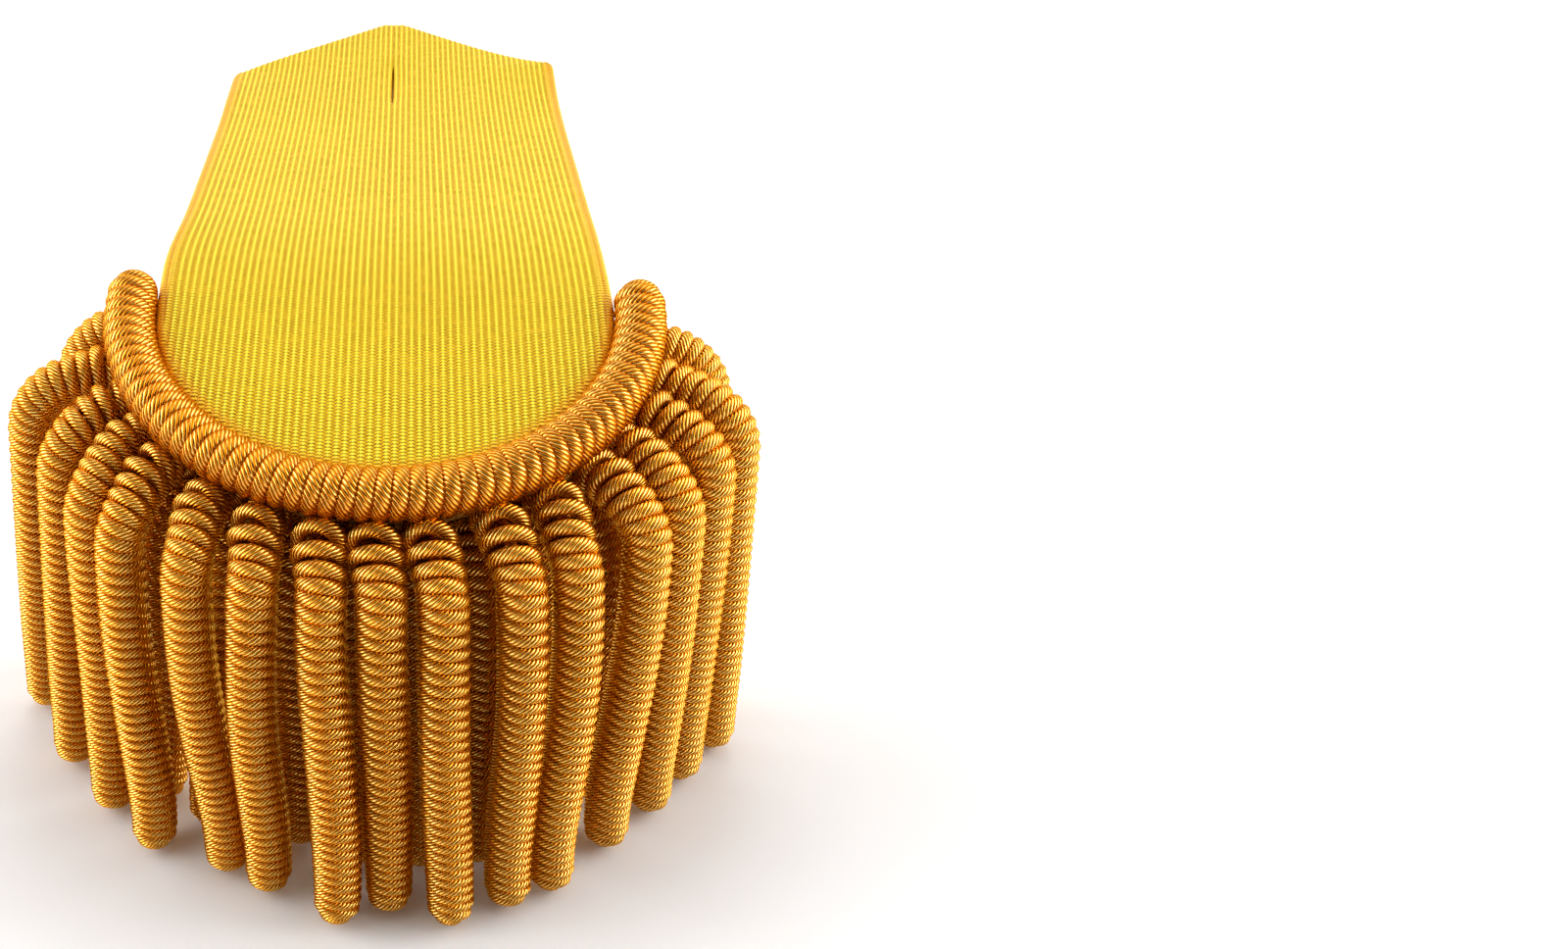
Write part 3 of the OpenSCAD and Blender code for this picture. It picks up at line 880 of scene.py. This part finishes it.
def wire_lay_group():
    """The wires of a purl, side by side at a slant round it."""
    group, given, result = new_group(
        "wire lay",
        [("Map", "NodeSocketVector"), ("Place", "NodeSocketVector"),
         ("Wires across", "NodeSocketFloat"), ("Wires per turn", "NodeSocketFloat"),
         ("Unevenness", "NodeSocketFloat")],
        [("Height", "NodeSocketFloat"), ("Gap", "NodeSocketFloat"),
         ("Crest", "NodeSocketFloat"), ("Shade", "NodeSocketFloat"),
         ("Outward", "NodeSocketFloat")],
    )
    w = Wiring(group)
    split = w.node("ShaderNodeSeparateXYZ")
    w.link(given.outputs["Map"], split.inputs[0])
    across = w.math("MULTIPLY", split.outputs["Y"], given.outputs["Wires across"])
    along = w.math("MULTIPLY", split.outputs["X"], given.outputs["Wires per turn"])
    noise = w.math("SUBTRACT", w.noise(given.outputs["Place"], 420.0), 0.5)
    wander = w.math("MULTIPLY", noise, given.outputs["Unevenness"])
    phase = w.math("ADD", w.math("ADD", across, along), wander)
    off = w.math("MULTIPLY", w.math("SUBTRACT", w.math("FRACT", phase), 0.5), 2.0)
    square = w.math("MULTIPLY", off, off)
    across_wire = w.math("MULTIPLY", square, 1.4)
    height = w.math("SQRT", w.math("SUBTRACT", 1.0, across_wire, clamp=True))
    w.link(height, result.inputs["Height"])
    crest = w.math("SUBTRACT", 1.0, w.math("MULTIPLY", square, 4.0), clamp=True)
    w.link(crest, result.inputs["Crest"])
    gap = w.math("MULTIPLY", w.math("SUBTRACT", w.math("ABSOLUTE", off), 0.4), 2.2, clamp=True)
    w.link(gap, result.inputs["Gap"])
    pick = w.node("ShaderNodeTexWhiteNoise", noise_dimensions="1D")
    w.link(w.math("FLOOR", phase), pick.inputs["W"])
    w.link(pick.outputs["Value"], result.inputs["Shade"])
    round_it = w.math("MULTIPLY", w.math("SUBTRACT", split.outputs["Y"], 0.5), FULL_TURN)
    outward = w.math("MULTIPLY", w.math("ADD", w.math("COSINE", round_it), 1.0), 0.5)
    w.link(outward, result.inputs["Outward"])
    return group


def lace_weave_group():
    """Fine metal threads across the ribs of the lace, and the ribs' crests."""
    group, given, result = new_group(
        "lace weave",
        [("Map", "NodeSocketVector"), ("Place", "NodeSocketVector"),
         ("Ribs", "NodeSocketFloat"), ("Rib shift", "NodeSocketFloat"),
         ("Threads", "NodeSocketFloat")],
        [("Thread", "NodeSocketFloat"), ("Crest", "NodeSocketFloat"),
         ("Shade", "NodeSocketFloat")],
    )
    w = Wiring(group)
    split = w.node("ShaderNodeSeparateXYZ")
    w.link(given.outputs["Map"], split.inputs[0])
    rib = w.math("ADD", w.math("MULTIPLY", split.outputs["X"], given.outputs["Ribs"]),
                 given.outputs["Rib shift"])
    crest = w.math("ABSOLUTE", w.math("SINE", w.math("MULTIPLY", rib, math.pi)))
    w.link(crest, result.inputs["Crest"])
    noise = w.math("SUBTRACT", w.noise(given.outputs["Place"], 500.0), 0.5)
    # Every second rib's threads lie half a thread along
    other = w.math("MULTIPLY", w.math("MODULO", w.math("FLOOR", rib), 2.0), 0.5)
    run = w.math("MULTIPLY", split.outputs["Y"], given.outputs["Threads"])
    phase = w.math("ADD", w.math("ADD", run, other), w.math("MULTIPLY", noise, 0.5))
    thread = w.math("ABSOLUTE", w.math("SINE", w.math("MULTIPLY", phase, math.pi)))
    w.link(thread, result.inputs["Thread"])
    pick = w.node("ShaderNodeTexWhiteNoise", noise_dimensions="2D")
    both = w.node("ShaderNodeCombineXYZ")
    w.link(w.math("FLOOR", phase), both.inputs["X"])
    w.link(w.math("FLOOR", rib), both.inputs["Y"])
    w.link(both.outputs[0], pick.inputs["Vector"])
    w.link(pick.outputs["Value"], result.inputs["Shade"])
    return group


def colour_drift_group():
    """Slow changes of tone over a piece, as gilding ages unevenly."""
    group, given, result = new_group(
        "gilding drift",
        [("Place", "NodeSocketVector"), ("Size", "NodeSocketFloat")],
        [("Drift", "NodeSocketFloat")],
    )
    w = Wiring(group)
    noise = w.node("ShaderNodeTexNoise")
    noise.inputs["Detail"].default_value = 3.0
    w.link(given.outputs["Place"], noise.inputs["Vector"])
    w.link(given.outputs["Size"], noise.inputs["Scale"])
    w.link(w.fade(noise.outputs["Fac"], 0.3, 0.7, kind="LINEAR"), result.inputs["Drift"])
    return group


def new_material(name):
    """A material with its Principled BSDF and the wiring to add to it."""
    material = bpy.data.materials.new(name)
    material.use_nodes = True
    w = Wiring(material.node_tree)
    return material, w, material.node_tree.nodes["Principled BSDF"]


def place_group(w, group, **values):
    """A shader node group in a material's tree, with what its sockets take."""
    made = w.node("ShaderNodeGroup")
    made.node_tree = group
    for key, value in values.items():
        w.feed(made.inputs[key.replace("_", " ")], value)
    return made


def gilt_purl(name, wire_lay, drift, deep, middling, gap_shade, highlight_share, top_highlight):
    """Gilt wire purl, as the bullions and the rim are wound from, with its two tones of gold, the
    painted shade between its wires, the share of painted highlight on them, and how much painted
    highlight is added, and painted shade taken away, on the side of the coil that faces up."""
    material, w, shader = new_material(name)
    place = w.node("ShaderNodeTexCoord").outputs["Object"]
    lay_map = w.node("ShaderNodeUVMap", uv_map="lay").outputs[0]
    wires = place_group(w, wire_lay, Map=lay_map, Place=place, Wires_across=WIRES_ACROSS,
                        Wires_per_turn=WIRES_PER_TURN, Unevenness=0.35)
    tone = place_group(w, drift, Place=place, Size=45.0)
    gold = w.mix(tone.outputs["Drift"], deep, middling)
    split = w.node("ShaderNodeSeparateXYZ")
    w.link(lay_map, split.inputs[0])
    # A painted highlight on the side of the coil that faces up, where the painted shade is
    # lighter too
    from_top = w.math("MULTIPLY", w.math("SUBTRACT", split.outputs["X"], UPWARD_SHARE), FULL_TURN)
    painted_top_light = w.math("MULTIPLY", w.math("COSINE", from_top), top_highlight, clamp=True)
    # A painted highlight on the crest of each wire, stronger on some wires than on others
    painted_highlight = w.math("MULTIPLY", wires.outputs["Crest"],
                   w.math("ADD", w.math("MULTIPLY", wires.outputs["Shade"], 0.5), highlight_share))
    painted_highlight = w.math("MULTIPLY", painted_highlight, w.math("ADD", painted_top_light, 1.0), clamp=True)
    pale = w.mix(painted_highlight, gold, WIRE_HIGHLIGHT)
    # Painted shade on the purl's inner side, which faces the coil's middle, added to the painted
    # shade in the gaps between the wires
    low = w.math("SUBTRACT", 1.0, wires.outputs["Outward"])
    painted_shade = w.math("ADD", wires.outputs["Gap"], w.math("MULTIPLY", low, 0.4), clamp=True)
    painted_shade = w.math("MULTIPLY", painted_shade, w.math("MULTIPLY_ADD", painted_top_light, -0.5, 1.0))
    # The painted shade colour goes into the gaps between the wires and onto the purl's inner side
    w.link(w.mix(painted_shade, pale, gap_shade), shader.inputs["Base Color"])
    shader.inputs["Metallic"].default_value = 1.0
    shader.inputs["Specular Tint"].default_value = WIRE_EDGE
    rough = w.math("ADD", w.math("MULTIPLY", wires.outputs["Gap"], 0.25), 0.22)
    w.link(rough, shader.inputs["Roughness"])
    w.bump(wires.outputs["Height"], shader, strength=1.0, distance=0.2 * MM)
    return material


def gold_lace(weave, drift):
    """Ribbed gold lace."""
    material, w, shader = new_material("gold lace")
    place = w.node("ShaderNodeTexCoord").outputs["Object"]
    lay_map = w.node("ShaderNodeUVMap", uv_map="lay").outputs[0]
    lace = place_group(w, weave, Map=lay_map, Place=place, Ribs=2 * LACE_HALF / RIB_PITCH,
                       Rib_shift=-LACE_HALF / RIB_PITCH, Threads=LACE_SPAN / THREAD_PITCH)
    tone = place_group(w, drift, Place=place, Size=28.0)
    gold = w.mix(tone.outputs["Drift"], LACE_DEEP, LACE_GOLD)
    ridge = w.math("POWER", lace.outputs["Crest"], 8.0)
    gap = w.math("SUBTRACT", 1.0, lace.outputs["Thread"])
    valley = w.math("SUBTRACT", 1.0, ridge)
    uneven = w.math("MULTIPLY_ADD", lace.outputs["Shade"], 0.7, 0.65)
    dash = w.math("MULTIPLY", w.math("POWER", gap, 0.7), w.math("MULTIPLY", valley, uneven),
                  clamp=True)
    dull = w.mix(dash, gold, LACE_DASH)
    # A painted highlight along the crests of the ribs, beaded by the threads and stronger on some
    # threads
    beaded = w.math("MULTIPLY_ADD", lace.outputs["Thread"], 0.4, 0.35)
    painted_crest_highlight = w.math("MULTIPLY", ridge, w.math(
        "MULTIPLY_ADD", lace.outputs["Shade"], 0.35, beaded), clamp=True)
    ribbed = w.mix(painted_crest_highlight, dull, LACE_HIGHLIGHT)

    # Where the lace rolls over the edge, its ribs give way to fine orange threads
    split = w.node("ShaderNodeSeparateXYZ")
    w.link(lay_map, split.inputs[0])
    x = w.math("MULTIPLY", w.math("SUBTRACT", split.outputs["X"], 0.5), 2 * LACE_HALF / MM)
    y = w.math("MINIMUM", w.math("MULTIPLY_ADD", split.outputs["Y"], LACE_SPAN / MM,
                                 LACE_FRONT / MM), 0.0)
    radius = w.math("SQRT", w.math("ADD", w.math("MULTIPLY", x, x), w.math("MULTIPLY", y, y)))
    edge = w.fade(radius, (FLAT_HALF - ROLL_INSIDE) / MM, (FLAT_HALF + ROLL_OUTSIDE) / MM)
    rolled = w.mix(gap, ROLLED_THREAD, ROLLED_GAP)
    w.link(w.mix(w.math("MULTIPLY", edge, 0.85), ribbed, rolled), shader.inputs["Base Color"])
    shader.inputs["Metallic"].default_value = 0.82
    rough = w.math("ADD", w.math("MULTIPLY", lace.outputs["Shade"], 0.15), 0.36)
    w.link(rough, shader.inputs["Roughness"])
    w.bump(lace.outputs["Thread"], shader, strength=1.0, distance=0.14 * MM)
    return material


def rolled_brass(drift):
    """Plain rolled brass with fine lengthwise rolling lines and a little tarnish."""
    material, w, shader = new_material("rolled brass")
    place = w.node("ShaderNodeTexCoord").outputs["Object"]
    tone = place_group(w, drift, Place=place, Size=120.0)
    stretch = w.node("ShaderNodeMapping")
    stretch.inputs["Scale"].default_value = (1.0, 0.03, 1.0)
    w.link(place, stretch.inputs["Vector"])
    lines = w.noise(stretch.outputs[0], 6000.0, 3.0)
    w.link(w.mix(tone.outputs["Drift"], BRASS_DULL, BRASS_BRIGHT), shader.inputs["Base Color"])
    shader.inputs["Metallic"].default_value = 1.0
    rough = w.math("ADD", w.math("MULTIPLY", tone.outputs["Drift"], -0.12), 0.38)
    w.link(rough, shader.inputs["Roughness"])
    w.bump(lines, shader, strength=0.3, distance=0.02 * MM)
    return material


def heading_webbing(weave, drift):
    """Dull gold webbing."""
    material, w, shader = new_material("heading webbing")
    place = w.node("ShaderNodeTexCoord").outputs["Object"]
    lay_map = w.node("ShaderNodeUVMap", uv_map="lay").outputs[0]
    lace = place_group(w, weave, Map=lay_map, Place=place, Ribs=130.0, Rib_shift=0.0,
                       Threads=70.0)
    tone = place_group(w, drift, Place=place, Size=90.0)
    gold = w.mix(tone.outputs["Drift"], WEBBING_DEEP, WEBBING_GOLD)
    cross = w.math("MULTIPLY", lace.outputs["Thread"], lace.outputs["Crest"])
    w.link(w.mix(cross, WEBBING_GAP, gold), shader.inputs["Base Color"])
    shader.inputs["Roughness"].default_value = 0.65
    w.bump(cross, shader, strength=0.8, distance=0.25 * MM)
    return material


def pale_floor():
    """A plain pale floor."""
    material, _, shader = new_material("pale floor")
    shader.inputs["Base Color"].default_value = FLOOR_WHITE
    shader.inputs["Roughness"].default_value = 0.6
    shader.inputs["Specular IOR Level"].default_value = 0.2
    mesh = bpy.data.meshes.new("floor")
    far = FLOOR_HALF
    mesh.from_pydata([(-far, -far, 0), (far, -far, 0), (far, far, 0), (-far, far, 0)],
                     [], [(0, 1, 2, 3)])
    mesh.materials.append(material)
    floor = bpy.data.objects.new("floor", mesh)
    bpy.context.scene.collection.objects.link(floor)


def soft_panel(name, place, size, power, aim=(0, 0, 0.05)):
    """A square soft light that looks at the part."""
    light = bpy.data.lights.new(name, "AREA")
    light.shape = "SQUARE"
    light.size = size
    light.energy = power
    lamp = bpy.data.objects.new(name, light)
    lamp.location = place
    lamp.rotation_euler = (Vector(aim) - Vector(place)).to_track_quat("-Z", "Y").to_euler()
    bpy.context.scene.collection.objects.link(lamp)


def studio_light():
    """White surroundings, darker on the camera's side and brighter at both sides, and a soft
    panel behind the part."""
    world = bpy.data.worlds.new("studio")
    bpy.context.scene.world = world
    world.use_nodes = True
    w = Wiring(world.node_tree)
    background = world.node_tree.nodes["Background"]
    direction = w.node("ShaderNodeTexCoord").outputs["Generated"]
    front = w.node("ShaderNodeVectorMath", operation="DOT_PRODUCT")
    w.link(direction, front.inputs[0])
    front.inputs[1].default_value = (0.0, -0.93, 0.37)
    split = w.node("ShaderNodeSeparateXYZ")
    w.link(direction, split.inputs[0])
    above = w.fade(split.outputs["Z"], 0.06, 0.2)
    darker = w.fade(w.math("MULTIPLY", front.outputs["Value"], above), 0.12, 0.8, 1.0, 0.03)
    side = w.fade(w.math("ABSOLUTE", split.outputs["X"]), 0.55, 0.92, 1.0, 5.5)
    w.link(w.math("MULTIPLY", darker, side), background.inputs["Color"])
    background.inputs["Strength"].default_value = 1.0
    soft_panel("back_panel", (0.0, 0.5, 0.8), 0.6, 2.0)


def photo_camera():
    """The photograph's viewing angle."""
    camera = bpy.data.objects.new("camera", bpy.data.cameras.new("camera"))
    camera.data.sensor_width = CAMERA_SENSOR
    camera.data.lens = CAMERA_LENS
    camera.data.shift_x = CAMERA_SHIFT
    camera.data.clip_start = 0.01
    camera.data.clip_end = 20
    camera.location = CAMERA_PLACE
    camera.rotation_euler = (CAMERA_TILT, 0, CAMERA_TURN)
    bpy.context.scene.collection.objects.link(camera)
    bpy.context.scene.camera = camera


photo_camera()
bpy.context.scene.view_settings.view_transform = "Standard"
wire_lay = wire_lay_group()
lace_weave = lace_weave_group()
gilding_drift = colour_drift_group()
purl = gilt_purl("gilt purl", wire_lay, gilding_drift, BULLION_DEEP, BULLION_GOLD,
                 BULLION_GAP_SHADE, highlight_share=0.5, top_highlight=0.0)
# The rim's purl: darker as painted shade, with little painted highlight on its wires and a
# painted highlight on its upper side
rim_purl = gilt_purl("gilt rim purl with painted shade", wire_lay, gilding_drift, RIM_SHADED_DEEP, RIM_SHADED_GOLD,
                     RIM_GAP_SHADE, highlight_share=0.08, top_highlight=1.0)
lace = gold_lace(lace_weave, gilding_drift)
webbing = heading_webbing(lace_weave, gilding_drift)
brass = rolled_brass(gilding_drift)

build_strap(lace)
build_rim(rim_purl)
build_fringe(purl)
heading("heading_outer", OUTER_ROOT, -STRAP_THICKNESS - SEAT_GAP, OUTER_LEVEL - HEAD_LOW,
        webbing, "fringe_outer")
heading("heading_inner", INNER_ROOT, OUTER_LEVEL - HEAD_LOW - SEAT_GAP, INNER_LEVEL - HEAD_LOW,
        webbing, "fringe_inner")
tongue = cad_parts["tongue"]
tongue.data.materials.clear()
tongue.data.materials.append(brass)

pale_floor()
studio_light()
